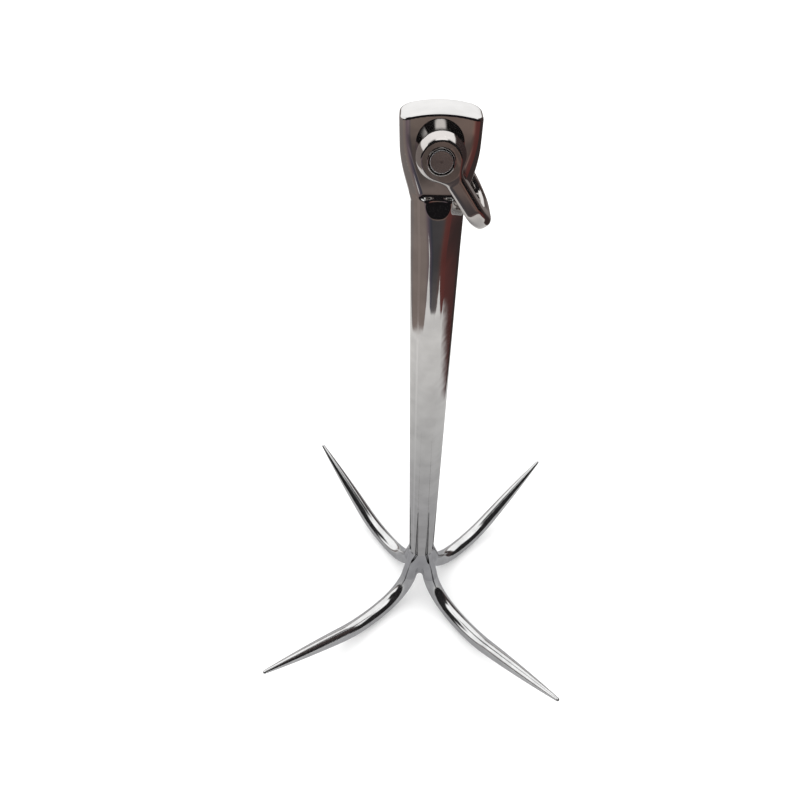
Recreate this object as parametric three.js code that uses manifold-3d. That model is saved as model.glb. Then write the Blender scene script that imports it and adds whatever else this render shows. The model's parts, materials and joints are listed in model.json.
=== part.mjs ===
// A four-fluke grapnel anchor of polished stainless steel, with the screw-pin shackle that
// takes its rope. Millimetres, +Z up along the shank. The origin is on the floor under the
// shank's axis, and the front is -Y: the shackle's pin runs front to back through the head.
import * as THREE from 'three';
import { mergeVertices } from 'three/addons/utils/BufferGeometryUtils.js';
import Module from 'manifold-3d';

const wasm = await Module();
wasm.setup();

// ---- driving dimensions -------------------------------------------------------------------

const HEIGHT = 446; // floor to the top of the head
const WELD_GAP = 0.3; // kept between pieces that are welded together
const TOOL_REACH = 30; // how far a cutting tool runs past the metal it cuts
const OVERLAP = 1; // how far joined solids run into each other, and cuts run past a face

// Shank: an octagonal bar, a little thicker at the top. It is regular at its foot. Its corner
// facets are ground deeper and deeper upwards, and the grinding runs out again at the head.
const SHANK_FOOT_Z = 73;
const SHANK_FOOT_HALF = 11;
const SHANK_TOP_HALF = 13;
const CORNER_GRIND = 2.2; // taken off x + y on a corner facet, before the grinding runs out
const GRIND_RUNOUT_Z = 375;
const GRIND_RUNOUT = 0.8; // share of the grinding that is gone at the head's base

// Head: the bar flares sideways, and is milled flat front and back for the shackle.
// A rise is a Bezier curve: it leaves its start towards (leaveZ, leaveHeight) and levels out
// over its last stretch.
const HEAD_BASE_Z = HEIGHT - 40;
const HEAD_FULL_Z = HEIGHT - 15;
const SIDE_RISE = {
  start: HEAD_BASE_Z, end: HEAD_FULL_Z, height: 4.8, leaveZ: 7, leaveHeight: 2, level: 9,
}; // added to each side
const CORNER_RISE = {
  start: HEIGHT - 36, end: HEIGHT - 8, height: 6, leaveZ: 6, leaveHeight: 1.2, level: 12,
}; // added to the reach of the slanting corner facets
const HEAD_HALF_THICKNESS = 9.25;
const DOME_RADIUS = 60;
const POCKET_END_Z = HEIGHT - 36.4; // the milled flats end here in a round cove
const COVE_RADIUS = 12.5;
const COVE_LIP = 1; // width of the ledge left between the flat and the cove

// Foot grooves: beside each of the four main facets, deepest at the foot.
const GROOVE_TOP_Z = 165;
const GROOVE_RADIUS = 1.1;

// Spigot: the shank's turned end, inside the crown.
const SPIGOT_RADIUS = 6;
const SPIGOT_LENGTH = 15;

// Crown: the hub that spreads into four stubs, one for each fluke.
const CROWN_BOTTOM_Z = 39;
const CROWN_BOTTOM_REACH = 23.6; // x + y on a corner facet at the crown's bottom
const CROWN_TURN = -5; // degrees that the crown and its flukes stand off the bar's corners

// Flukes: identical bent rods on the diagonals, each ending in a point.
const FLUKE_ROOT_RADIUS = 6.3;
const FLUKE_RADIUS = 7;
const FLUKE_AZIMUTHS = {
  fluke_front_left: 225,
  fluke_front_right: 315,
  fluke_back_right: 45,
  fluke_back_left: 135,
};
const STUB_SLOPE = -76.3; // degrees above the horizontal, seen along the fluke
const STUB_START = { reach: 4.7, z: SHANK_FOOT_Z };
const STUB_ROOT = -2; // the stub's round bar starts this far before its start, in the hub
const STUB_LENGTH = 39.3;
const ELBOW = { radius: 36, turn: 68.3 };
const BELLY = { radius: 75, turn: 39 };
const POINT_LENGTH = 84;
const POINT_TAPER = 120; // the rod narrows over this last length
const POINT_TIP_RADIUS = 1.4;
const POINT_ROUNDING = 1.6;
const POINT_BLUNTNESS = 0.15; // share of the tip's area left flat at its very end

// Shackle: a short D shackle that straddles the head and stands off to the shank's side.
const PIN_Z = HEIGHT - 15.1;
const SHACKLE_TILT = 33.6; // degrees from hanging straight down, towards +X
const SHACKLE_INSIDE = 20;
const BOW_RADIUS = 4.2; // of the bar the bow is bent from
const BOW_REACH = 38.7; // pin axis to the middle of the bow's bar
const BOW_BEND_RADIUS = 11.5; // of each of the bow's two bends
const EAR_RADIUS = 10.65;
const EAR_THICKNESS = 11;
const EAR_ROUNDING = 2.2;
const NECK_FILLET = 6;
const NECK_END = 14;

// Pin: its thread ends flush with the front ear, and its eye stands behind the back ear.
const PIN_RADIUS = 5;
const PIN_CHAMFER = 0.4;
const THREADED_BORE_RADIUS = 5.15;
const PLAIN_BORE_RADIUS = 5.3;
const HEAD_BORE_RADIUS = 5.5;
const COUNTERSINK_RADIUS = 5.9;
const COLLAR_RADIUS = 7.2;
const COLLAR_THICKNESS = 3.2;
const PIN_EYE_RADIUS = 9;
const PIN_EYE_HOLE_RADIUS = 4;
const PIN_EYE_THICKNESS = 6;
const PIN_EYE_ROUNDING = 1.5;

// Fineness of the faceted solids.
const ROUND_SIDES = 32; // sides of a turned or drilled circle
const ROD_SIDES = 20;
const DOME_SIDES = 128;
const GROOVE_SIDES = 6;
const HEAD_STEPS = 24;
const NECK_STEPS = 8;
const STUB_RINGS = 6;
const FLUKE_RINGS = 40;
const BOW_RINGS = 30;
const EAR_BEVEL_STEPS = 3;
const EYE_BEVEL_STEPS = 2;
const OUTLINE_STEPS = 12; // points along each arc of an outline
const CURVE_HALVINGS = 30; // of the interval searched for a point on a curve
const SAME_POINT = 1e-4; // corners closer than this are one corner

// ---- solids -------------------------------------------------------------------------------

function toSolid(geometry) {
  const bare = geometry.clone();
  bare.deleteAttribute('normal');
  bare.deleteAttribute('uv');
  const merged = mergeVertices(bare, SAME_POINT);
  return new wasm.Manifold(new wasm.Mesh({
    numProp: 3,
    vertProperties: new Float32Array(merged.attributes.position.array),
    triVerts: new Uint32Array(merged.index.array),
  }));
}

function toGeometry(solid) {
  const { vertProperties, triVerts } = solid.getMesh();
  const geometry = new THREE.BufferGeometry();
  geometry.setAttribute('position', new THREE.BufferAttribute(vertProperties, 3));
  geometry.setIndex(new THREE.BufferAttribute(triVerts, 1));
  const faceted = geometry.toNonIndexed();
  faceted.computeVertexNormals();
  return faceted;
}

function joined(solids) {
  return solids.reduce((whole, solid) => whole.add(solid));
}

// A box between two corners, each given as [x, y, z].
function block(low, high) {
  const size = high.map((value, axis) => value - low[axis]);
  const middle = high.map((value, axis) => (value + low[axis]) / 2);
  return toSolid(new THREE.BoxGeometry(...size).translate(...middle));
}

// A round bar along Y, from y = start to y = end, at height z.
function barAlongY(radius, start, end, z, endRadius = radius) {
  const geometry = new THREE.CylinderGeometry(endRadius, radius, end - start, ROUND_SIDES);
  return toSolid(geometry.translate(0, (start + end) / 2, z));
}

// A round bar along Z, between two heights.
function upright(radius, bottom, top) {
  const geometry = new THREE.CylinderGeometry(radius, radius, top - bottom, ROUND_SIDES);
  return toSolid(geometry.rotateX(Math.PI / 2).translate(0, 0, (top + bottom) / 2));
}

// ---- octagonal sections -------------------------------------------------------------------

// A section is { halfX, halfY, reach }: the distance of the side and front facets from the
// axis, and x + y on the four corner facets.
function regularOctagon(half) {
  return { halfX: half, halfY: half, reach: half * Math.SQRT2 };
}

// A bar with an octagonal section that changes with height.
function octagonalBar(bottom, top, steps, sectionAt) {
  const corners = [[2, 1], [1, 2], [-1, 2], [-2, 1], [-2, -1], [-1, -2], [1, -2], [2, -1]];
  const outline = new THREE.Shape(corners.map(([x, y]) => new THREE.Vector2(x, y)));
  const geometry = new THREE.ExtrudeGeometry(outline, {
    depth: top - bottom, steps, bevelEnabled: false,
  });
  const position = geometry.attributes.position;
  for (let i = 0; i < position.count; i += 1) {
    const z = bottom + position.getZ(i);
    const { halfX, halfY, reach } = sectionAt(z);
    const onSide = Math.abs(position.getX(i)) > Math.abs(position.getY(i));
    const x = onSide ? halfX : reach - halfY;
    const y = onSide ? reach - halfX : halfY;
    position.setXYZ(i, Math.sign(position.getX(i)) * x, Math.sign(position.getY(i)) * y, z);
  }
  return toSolid(geometry);
}

// ---- bent rods ----------------------------------------------------------------------------

// A path in a vertical plane is a start and a list of runs, each straight or a circular arc.
// Headings are in degrees above the horizontal; a positive turn bends the path upwards.
function straight(length) {
  return { length, bend: 0 };
}

function arc({ radius, turn }) {
  return { length: radius * THREE.MathUtils.degToRad(turn), bend: 1 / radius };
}

function pathLength(path) {
  return path.runs.reduce((sum, run) => sum + run.length, 0);
}

// The point and heading (in radians) at a distance along a path.
function pathAt(path, distance) {
  let { reach, z } = path.start;
  let heading = THREE.MathUtils.degToRad(path.heading);
  let left = distance;
  for (const [index, run] of path.runs.entries()) {
    const isLast = index === path.runs.length - 1;
    const length = isLast ? left : Math.min(left, run.length);
    const next = heading + length * run.bend;
    if (run.bend === 0) {
      reach += length * Math.cos(heading);
      z += length * Math.sin(heading);
    } else {
      reach += (Math.sin(next) - Math.sin(heading)) / run.bend;
      z -= (Math.cos(next) - Math.cos(heading)) / run.bend;
    }
    heading = next;
    left -= length;
    if (left <= 0) break;
  }
  return { reach, z, heading };
}

// A round rod along part of a path, in the plane of +X and +Z.
function bentRod(path, from, to, rings, radiusAt) {
  const geometry = new THREE.CylinderGeometry(1, 1, 1, ROD_SIDES, rings);
  const position = geometry.attributes.position;
  for (let i = 0; i < position.count; i += 1) {
    const distance = from + (to - from) * (position.getY(i) + 0.5);
    const { reach, z, heading } = pathAt(path, distance);
    const radius = radiusAt(distance);
    const across = position.getX(i) * radius;
    const up = position.getZ(i) * radius;
    position.setXYZ(i, reach - up * Math.sin(heading), -across, z + up * Math.cos(heading));
  }
  return geometry;
}

// ---- shank --------------------------------------------------------------------------------

// The height of a curve of (z, height) points above a given z.
function heightAt(curve, z) {
  let low = 0;
  let high = 1;
  for (let i = 0; i < CURVE_HALVINGS; i += 1) {
    const middle = (low + high) / 2;
    if (curve.getPoint(middle).x < z) low = middle;
    else high = middle;
  }
  return curve.getPoint(low).y;
}

// A smooth rise from 0 at z = start to a full height at z = end.
function rise({ start, end, height, leaveZ, leaveHeight, level }) {
  return new THREE.CubicBezierCurve(
    new THREE.Vector2(start, 0),
    new THREE.Vector2(start + leaveZ, leaveHeight),
    new THREE.Vector2(end - level, height),
    new THREE.Vector2(end, height),
  );
}

const sideRise = rise(SIDE_RISE);
const cornerRise = rise(CORNER_RISE);

function barSection(z) {
  const along = (z - SHANK_FOOT_Z) / (HEAD_BASE_Z - SHANK_FOOT_Z);
  const section = regularOctagon(SHANK_FOOT_HALF + (SHANK_TOP_HALF - SHANK_FOOT_HALF) * along);
  const gone = GRIND_RUNOUT * THREE.MathUtils.smoothstep(z, GRIND_RUNOUT_Z, HEAD_BASE_Z);
  section.reach -= CORNER_GRIND * along * (1 - gone);
  return section;
}

function headSection(z) {
  const section = barSection(z);
  section.halfX += heightAt(sideRise, z);
  section.reach += heightAt(cornerRise, z);
  return section;
}

// The metal above the head's domed top.
function domeWaste() {
  const above = block(
    [-TOOL_REACH, -TOOL_REACH, HEAD_FULL_Z],
    [TOOL_REACH, TOOL_REACH, HEIGHT + TOOL_REACH],
  );
  const dome = new THREE.CylinderGeometry(DOME_RADIUS, DOME_RADIUS, 3 * TOOL_REACH, DOME_SIDES);
  return above.subtract(toSolid(dome.translate(0, 0, HEIGHT - DOME_RADIUS)));
}

// The metal milled off one side of the head: a flat that ends in a spherical cove.
function pocketWaste(side) {
  const inner = side * HEAD_HALF_THICKNESS;
  const outer = side * (HEAD_HALF_THICKNESS + TOOL_REACH);
  const flat = block(
    [-TOOL_REACH, Math.min(inner, outer), POCKET_END_Z],
    [TOOL_REACH, Math.max(inner, outer), HEIGHT + TOOL_REACH],
  );
  const cove = new THREE.SphereGeometry(COVE_RADIUS, ROUND_SIDES, ROUND_SIDES / 2);
  cove.translate(0, side * (HEAD_HALF_THICKNESS + COVE_LIP + COVE_RADIUS), POCKET_END_Z);
  return flat.add(toSolid(cove));
}

// A groove that fades out upwards along one edge of the bar. The edge is given by its two
// signs and by whether it borders a side facet rather than a front or back one.
function grooveWaste(signX, signY, bordersSide) {
  const edgeAt = (z) => {
    const { halfX, halfY, reach } = barSection(z);
    const [x, y] = bordersSide ? [halfX, reach - halfX] : [reach - halfY, halfY];
    return new THREE.Vector3(signX * x, signY * y, z);
  };
  const bottom = edgeAt(SHANK_FOOT_Z - OVERLAP);
  const along = edgeAt(GROOVE_TOP_Z).sub(bottom);
  const groove = new THREE.ConeGeometry(GROOVE_RADIUS, along.length(), GROOVE_SIDES);
  groove.translate(0, along.length() / 2, 0);
  const turn = new THREE.Quaternion();
  turn.setFromUnitVectors(new THREE.Vector3(0, 1, 0), along.normalize());
  return toSolid(groove.applyQuaternion(turn).translate(...bottom));
}

function shank() {
  const bar = octagonalBar(SHANK_FOOT_Z + WELD_GAP, GRIND_RUNOUT_Z, 1, barSection);
  const neck = octagonalBar(GRIND_RUNOUT_Z, HEAD_BASE_Z, NECK_STEPS, barSection);
  const head = octagonalBar(HEAD_BASE_Z, HEIGHT + OVERLAP, HEAD_STEPS, headSection);
  const spigotTop = SHANK_FOOT_Z + OVERLAP;
  const spigot = upright(SPIGOT_RADIUS, SHANK_FOOT_Z - SPIGOT_LENGTH, spigotTop);
  const waste = [domeWaste(), pocketWaste(-1), pocketWaste(1)];
  waste.push(barAlongY(HEAD_BORE_RADIUS, -TOOL_REACH, TOOL_REACH, PIN_Z));
  for (const signX of [-1, 1]) {
    for (const signY of [-1, 1]) {
      waste.push(grooveWaste(signX, signY, false), grooveWaste(signX, signY, true));
    }
  }
  const forged = joined([bar, neck, head]).subtract(joined(waste));
  return toGeometry(forged.add(spigot));
}

// ---- crown and flukes ---------------------------------------------------------------------

const flukePath = {
  start: STUB_START,
  heading: STUB_SLOPE,
  runs: [straight(STUB_LENGTH), arc(ELBOW), arc(BELLY), straight(POINT_LENGTH)],
};
const flukeLength = pathLength(flukePath);

// The rod swells from its root to full size at the elbow, and narrows on a curve to its point.
function flukeRadius(distance) {
  const swell = THREE.MathUtils.smoothstep(distance, 0, STUB_LENGTH);
  const full = FLUKE_ROOT_RADIUS + (FLUKE_RADIUS - FLUKE_ROOT_RADIUS) * swell;
  const left = Math.max(flukeLength - distance, 0);
  const taper = Math.min(left / POINT_TAPER, 1);
  const narrowed = POINT_TIP_RADIUS + (full - POINT_TIP_RADIUS) * (1 - (1 - taper) ** 2);
  const roundness = Math.min(left / POINT_ROUNDING, 1);
  const domed = roundness * (2 - roundness);
  return narrowed * Math.sqrt(POINT_BLUNTNESS + (1 - POINT_BLUNTNESS) * domed);
}

// The hub's corner facets lean outwards, so its main facets widen towards the bottom.
function crownSection(z) {
  const down = (SHANK_FOOT_Z - z) / (SHANK_FOOT_Z - CROWN_BOTTOM_Z);
  const section = regularOctagon(SHANK_FOOT_HALF);
  section.reach += (CROWN_BOTTOM_REACH - section.reach) * down;
  return section;
}

function crown() {
  const hub = octagonalBar(CROWN_BOTTOM_Z, SHANK_FOOT_Z, 1, crownSection);
  const stubs = Object.values(FLUKE_AZIMUTHS).map((azimuth) => {
    const stub = bentRod(flukePath, STUB_ROOT, STUB_LENGTH, STUB_RINGS, flukeRadius);
    return toSolid(stub.rotateZ(THREE.MathUtils.degToRad(azimuth)));
  });
  const above = block(
    [-TOOL_REACH, -TOOL_REACH, SHANK_FOOT_Z],
    [TOOL_REACH, TOOL_REACH, SHANK_FOOT_Z + TOOL_REACH],
  );
  const socketBottom = SHANK_FOOT_Z - SPIGOT_LENGTH - OVERLAP;
  const socket = upright(SPIGOT_RADIUS + WELD_GAP, socketBottom, SHANK_FOOT_Z + OVERLAP);
  return toGeometry(joined([hub, ...stubs]).subtract(above.add(socket)));
}

function fluke(azimuth) {
  const start = STUB_LENGTH + WELD_GAP;
  const rod = bentRod(flukePath, start, flukeLength, FLUKE_RINGS, flukeRadius);
  return rod.rotateZ(THREE.MathUtils.degToRad(azimuth));
}

// ---- shackle ------------------------------------------------------------------------------

// The front view of one ear and the start of its arm, hanging down, before its edges are
// rounded outwards. Hollow fillets lead from the ear into the arm.
function earOutline() {
  const ear = EAR_RADIUS - EAR_ROUNDING;
  const neck = BOW_RADIUS - EAR_ROUNDING;
  const filletX = neck + NECK_FILLET;
  const filletY = -Math.sqrt((ear + NECK_FILLET) ** 2 - filletX ** 2);
  const meet = Math.atan2(filletY, filletX);
  const outline = new THREE.Shape();
  outline.moveTo(neck, -NECK_END);
  outline.absarc(filletX, filletY, NECK_FILLET, Math.PI, meet + Math.PI, true);
  outline.absarc(0, 0, ear, meet, Math.PI - meet, false);
  outline.absarc(-filletX, filletY, NECK_FILLET, -meet, 0, true);
  outline.lineTo(-neck, -NECK_END);
  outline.closePath();
  return outline;
}

function ear(side) {
  const geometry = new THREE.ExtrudeGeometry(earOutline(), {
    depth: EAR_THICKNESS - 2 * EAR_ROUNDING,
    bevelThickness: EAR_ROUNDING,
    bevelSize: EAR_ROUNDING,
    bevelSegments: EAR_BEVEL_STEPS,
    curveSegments: OUTLINE_STEPS,
  });
  geometry.translate(0, 0, EAR_ROUNDING - EAR_THICKNESS / 2);
  geometry.rotateX(Math.PI / 2);
  return toSolid(geometry.translate(0, side * (SHACKLE_INSIDE + EAR_THICKNESS) / 2, 0));
}

// The bow's bar: an arm down from the middle of one ear, across, and up to the other ear.
function bowBar() {
  const halfWidth = SHACKLE_INSIDE / 2 + BOW_RADIUS;
  const arm = straight(BOW_REACH - BOW_BEND_RADIUS - EAR_RADIUS / 2);
  const bend = arc({ radius: BOW_BEND_RADIUS, turn: 90 });
  const across = straight(2 * (halfWidth - BOW_BEND_RADIUS));
  const path = {
    start: { reach: -halfWidth, z: -EAR_RADIUS / 2 },
    heading: -90,
    runs: [arm, bend, across, bend, arm],
  };
  const rod = bentRod(path, 0, pathLength(path), BOW_RINGS, () => BOW_RADIUS);
  return toSolid(rod.rotateZ(Math.PI / 2));
}

function shackleBow() {
  const face = SHACKLE_INSIDE / 2 + EAR_THICKNESS;
  const depth = COUNTERSINK_RADIUS - THREADED_BORE_RADIUS;
  const waste = [
    barAlongY(THREADED_BORE_RADIUS, -face - OVERLAP, 0, 0),
    barAlongY(PLAIN_BORE_RADIUS, 0, face + OVERLAP, 0),
    barAlongY(
      COUNTERSINK_RADIUS + OVERLAP, -face - OVERLAP, depth - face, 0, THREADED_BORE_RADIUS,
    ),
  ];
  return toGeometry(joined([ear(-1), ear(1), bowBar()]).subtract(joined(waste)));
}

function pinEye(y) {
  const rim = PIN_EYE_RADIUS - PIN_EYE_ROUNDING;
  const outline = new THREE.Shape().absarc(0, 0, rim, 0, 2 * Math.PI);
  const holeRim = PIN_EYE_HOLE_RADIUS + PIN_EYE_ROUNDING;
  outline.holes.push(new THREE.Path().absarc(0, 0, holeRim, 0, 2 * Math.PI));
  const geometry = new THREE.ExtrudeGeometry(outline, {
    depth: PIN_EYE_THICKNESS - 2 * PIN_EYE_ROUNDING,
    bevelThickness: PIN_EYE_ROUNDING,
    bevelSize: PIN_EYE_ROUNDING,
    bevelSegments: EYE_BEVEL_STEPS,
    curveSegments: ROUND_SIDES / 2,
  });
  return toSolid(geometry.translate(0, y, PIN_EYE_ROUNDING - PIN_EYE_THICKNESS / 2));
}

function shacklePin() {
  const face = SHACKLE_INSIDE / 2 + EAR_THICKNESS;
  const collarStart = face + WELD_GAP;
  const collarEnd = collarStart + COLLAR_THICKNESS;
  const profile = [
    [0, -face],
    [PIN_RADIUS - PIN_CHAMFER, -face],
    [PIN_RADIUS, PIN_CHAMFER - face],
    [PIN_RADIUS, collarStart],
    [COLLAR_RADIUS, collarStart],
    [COLLAR_RADIUS, collarEnd - PIN_CHAMFER],
    [COLLAR_RADIUS - PIN_CHAMFER, collarEnd],
    [0, collarEnd],
  ].map(([radius, y]) => new THREE.Vector2(radius, y));
  const shaft = toSolid(new THREE.LatheGeometry(profile, ROUND_SIDES));
  return toGeometry(shaft.add(pinEye(collarEnd + PIN_EYE_RADIUS - OVERLAP)));
}

// ---- assembly -----------------------------------------------------------------------------

function polishedSteel(color, roughness) {
  return new THREE.MeshStandardMaterial({ color, roughness, metalness: 1 });
}

function piece(name, geometry, material) {
  const mesh = new THREE.Mesh(geometry, material);
  mesh.name = name;
  return mesh;
}

const anchor = new THREE.Group();
anchor.add(piece('shank', shank(), polishedSteel(0xc8c6c3, 0.08)));

const foot = new THREE.Group();
foot.rotation.z = THREE.MathUtils.degToRad(CROWN_TURN);
foot.add(piece('crown', crown(), polishedSteel(0xc2c1bf, 0.12)));
for (const [name, azimuth] of Object.entries(FLUKE_AZIMUTHS)) {
  foot.add(piece(name, fluke(azimuth), polishedSteel(0xcccbc9, 0.06)));
}
anchor.add(foot);

const shackle = new THREE.Group();
shackle.position.z = PIN_Z;
const bow = piece('shackle_bow', shackleBow(), polishedSteel(0xb9b5b2, 0.15));
bow.rotation.y = -THREE.MathUtils.degToRad(SHACKLE_TILT);
shackle.add(bow);
shackle.add(piece('shackle_pin', shacklePin(), polishedSteel(0xa9a5a3, 0.22)));
anchor.add(shackle);

export default anchor;
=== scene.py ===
import json
import math

import bmesh
import bpy
import numpy as np
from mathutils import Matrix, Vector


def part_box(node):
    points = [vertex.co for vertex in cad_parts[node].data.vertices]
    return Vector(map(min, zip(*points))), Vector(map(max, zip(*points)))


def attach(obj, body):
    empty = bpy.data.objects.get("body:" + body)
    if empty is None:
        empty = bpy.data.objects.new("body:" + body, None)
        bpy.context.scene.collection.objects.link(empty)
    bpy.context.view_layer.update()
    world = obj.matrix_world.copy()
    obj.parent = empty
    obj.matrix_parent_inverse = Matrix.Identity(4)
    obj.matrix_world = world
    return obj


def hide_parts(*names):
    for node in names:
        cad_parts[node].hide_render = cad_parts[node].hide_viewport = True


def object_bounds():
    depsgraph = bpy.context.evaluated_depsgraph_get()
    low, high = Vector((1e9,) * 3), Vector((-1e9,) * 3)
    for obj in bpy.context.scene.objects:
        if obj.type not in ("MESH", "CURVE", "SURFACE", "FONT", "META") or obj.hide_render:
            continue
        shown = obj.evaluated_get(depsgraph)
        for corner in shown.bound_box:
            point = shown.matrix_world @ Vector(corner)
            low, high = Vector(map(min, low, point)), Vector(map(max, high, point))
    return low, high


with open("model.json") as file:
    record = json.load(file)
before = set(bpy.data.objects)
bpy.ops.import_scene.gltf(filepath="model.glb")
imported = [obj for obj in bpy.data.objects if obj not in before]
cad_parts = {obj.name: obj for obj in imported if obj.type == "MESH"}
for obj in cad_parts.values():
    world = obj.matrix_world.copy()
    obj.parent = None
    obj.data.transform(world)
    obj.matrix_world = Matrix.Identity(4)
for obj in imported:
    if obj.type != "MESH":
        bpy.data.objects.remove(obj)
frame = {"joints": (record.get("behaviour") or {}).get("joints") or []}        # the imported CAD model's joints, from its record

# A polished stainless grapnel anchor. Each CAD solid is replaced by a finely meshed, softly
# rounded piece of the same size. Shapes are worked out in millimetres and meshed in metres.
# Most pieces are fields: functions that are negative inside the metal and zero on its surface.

import openvdb
from mathutils import Matrix, Vector

cad_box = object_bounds()

MM = 0.001
ROOT2 = math.sqrt(2)
TINY = 1e-9

# ---- driving dimensions, in millimetres -----------------------------------------------------

HEIGHT = cad_box[1].z / MM
SHANK_FOOT_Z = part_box("crown")[1].z / MM
PIN_Z = frame["joints"][0]["pos_m"][2] / MM

# Shank: a tapered octagonal bar whose edges are softened by polishing. Its corner facets are
# ground deeper and deeper upwards, and the grinding runs out again at the head.
FOOT_HALF = 11
TOP_HALF = 13
BAR_EDGE = 1.8
CORNER_GRIND = 2.2
GRIND_RUNOUT_Z = 375
GRIND_RUNOUT = 0.8
FACET_CROWN = 0.12
GROOVE_TOP_Z = 165
GROOVE_RADIUS = 1.6
GROOVE_SINK = 0.9
GROOVE_EDGE = 0.3
GROOVE_FADE_POWER = 0.8
SPIGOT_RADIUS = 6
SPIGOT_LENGTH = 15

# Head: flared sideways, milled flat front and back, domed on top.
HEAD_BASE_Z = HEIGHT - 40
SIDE_RISE = ((HEAD_BASE_Z, 0), (HEIGHT - 33, 2), (HEIGHT - 24, 4.8), (HEIGHT - 15, 4.8))
CORNER_RISE = ((HEIGHT - 36, 0), (HEIGHT - 30, 1.2), (HEIGHT - 20, 6), (HEIGHT - 8, 6))
HEAD_HALF_THICKNESS = 9.25
POCKET_END_Z = HEIGHT - 36.4
COVE_RADIUS = 12.5
COVE_BOTTOM_Z = POCKET_END_Z - COVE_RADIUS
COVE_LIP = 1
COVE_EDGE = 1.0
POCKET_FILLET = 1.8
FLAT_EDGE = 1.5
DOME_RADIUS = 60
DOME_EDGE = 1.1
HEAD_BORE_RADIUS = 5.5

# Crown: the hub that spreads into four stubs.
CROWN_BOTTOM_Z = 39
CROWN_BOTTOM_REACH = 23.6
CROWN_TURN = -5
CROWN_TWIST_HEIGHT = 14
CROWN_EDGE = 0.5
SEAM_RADIUS = 1.05
SEAM_SINK = 0.45
SEAM_EDGE = 0.4
SEAM_BOTTOM_Z = 45
SEAM_FADE_HEIGHT = (SHANK_FOOT_Z - SEAM_BOTTOM_Z) / 3
STUB_BLEND = 2.2
SOCKET_RADIUS = 6.3
SOCKET_DEPTH = 16
WELD_OVERLAP = 1.5

# Flukes: bent rods that end in points.
FLUKES = {
    "fluke_front_left": 225,
    "fluke_front_right": 315,
    "fluke_back_right": 45,
    "fluke_back_left": 135,
}
ROOT_RADIUS = 5.8
ROD_RADIUS = 7
STUB_REACH = 4.7
STUB_SLOPE = -76.3
STUB_LENGTH = 39.3
ELBOW_RADIUS = 36
ELBOW_TURN = 68.3
BELLY_RADIUS = 75
BELLY_TURN = 39
POINT_LENGTH = 84
POINT_TAPER = 120
TIP_RADIUS = 1.4
TIP_ROUNDING = 1.6

# Shackle: two barrel-shaped ears, joined by a bar bent to a U.
SHACKLE_TILT = 33.6
SHACKLE_INSIDE = 20
BAR_RADIUS = 4.2
BOW_REACH = 38.7
BEND_RADIUS = 11.5
BEND_POWER = 2.5
ARM_ROOT_HALF = 5.4
ARM_END_HALF = 5.1
ARM_SQUARENESS = 5
BEND_SQUARENESS = 2.6
EAR_RADIUS = 10.9
EAR_THICKNESS = 11
EAR_FACE_RADIUS = 8.2
EAR_FACE_DEPTH = 5
EAR_BACK_RADIUS = 7.6
EAR_FRONT_POWER = 1.25
EAR_BACK_POWER = 1.05
EAR_EDGE = 0.5
BOSS_RADIUS = 5.95
BOSS_RIM = 0.35
BOSS_HEIGHT = 0.35
NECK_BLEND = 3
FRONT_BORE_RADIUS = 5.45
BACK_BORE_RADIUS = 5.3
BORE_EDGE = 0.3
NECK_BOTTOM = 18

# Pin: its front end is flush with the front ear; its collar and eye stand behind the back ear.
PIN_RADIUS = 5
PIN_EDGE = 0.5
COLLAR_RADIUS = 7.2
COLLAR_START = 21.3
COLLAR_THICKNESS = 3.2
EYE_RADIUS = 9
EYE_HOLE_RADIUS = 4
EYE_THICKNESS = 6
EYE_EDGE = 2.2
EYE_BLEND = 3
EYE_SINK = 1
PIN_TAIL = 2

# ---- camera and studio ----------------------------------------------------------------------

# The camera was fitted so that the anchor's edges fall where the photograph shows them. Its
# place and lens are in millimetres, its turns in degrees, and its nearest sight in metres.
CAMERA_PLACE = (-12.74, -250.68, 527.39)
CAMERA_YAW = 1.688
CAMERA_PITCH = 46.28
CAMERA_ROLL = -1.761
CAMERA_LENS = 24.63
CAMERA_SHIFT_X = -0.025
CAMERA_NEAR = 0.01

# The light's place and size are in metres, and its power in watts.
SOFTBOX_PLACE = (-0.5, 0.3, 1.9)
SOFTBOX_SIZE = 1.6
SOFTBOX_POWER = 9

# The floor and the white sheet on it, in millimetres. Each border has a bearing in degrees and
# a distance. The corner is where the shadow on the sheet starts, to the right and backwards.
FLOOR_HALF = 9000
SHEET_BORDERS = ((180, 415), (-90, 452), (-19, 453), (90, 1100))
SHADOW_CORNER = (274, 20)
SHEET_SOFTNESS = 12


# ---- fields ---------------------------------------------------------------------------------

def soft_max(a, b, width):
    """The larger of two fields, rounded where they are within a width of each other."""
    overlap = np.maximum(width - np.abs(a - b), 0) / width
    return np.maximum(a, b) + width * overlap**2 / 4


def soft_min(a, b, width):
    """The smaller of two fields, rounded in the same way."""
    return -soft_max(-a, -b, width)


def smoothstep(value):
    """A smooth rise from 0 to 1 as the value goes from 0 to 1."""
    share = np.clip(value, 0, 1)
    return share**2 * (3 - 2 * share)


def slope_of(field, points, step=0.02):
    """The field's gradient at each point."""
    slopes = []
    for axis in range(3):
        shift = np.zeros(3)
        shift[axis] = step
        rise = field(*(points + shift).T) - field(*(points - shift).T)
        slopes.append(rise / (2 * step))
    return np.stack(slopes, axis=1)


def unit(vectors):
    return vectors / np.maximum(np.linalg.norm(vectors, axis=1, keepdims=True), TINY)


def settled(field, points, rounds=4, longest_move=0.6, least_steepness=0.1):
    """Points moved onto the field's surface."""
    for _ in range(rounds):
        slope = slope_of(field, points)
        steepness = np.maximum((slope**2).sum(axis=1), least_steepness)
        move = -(field(*points.T) / steepness)[:, None] * slope
        length = np.linalg.norm(move, axis=1, keepdims=True)
        points = points + move * np.minimum(1, longest_move / np.maximum(length, TINY))
    return points


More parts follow.
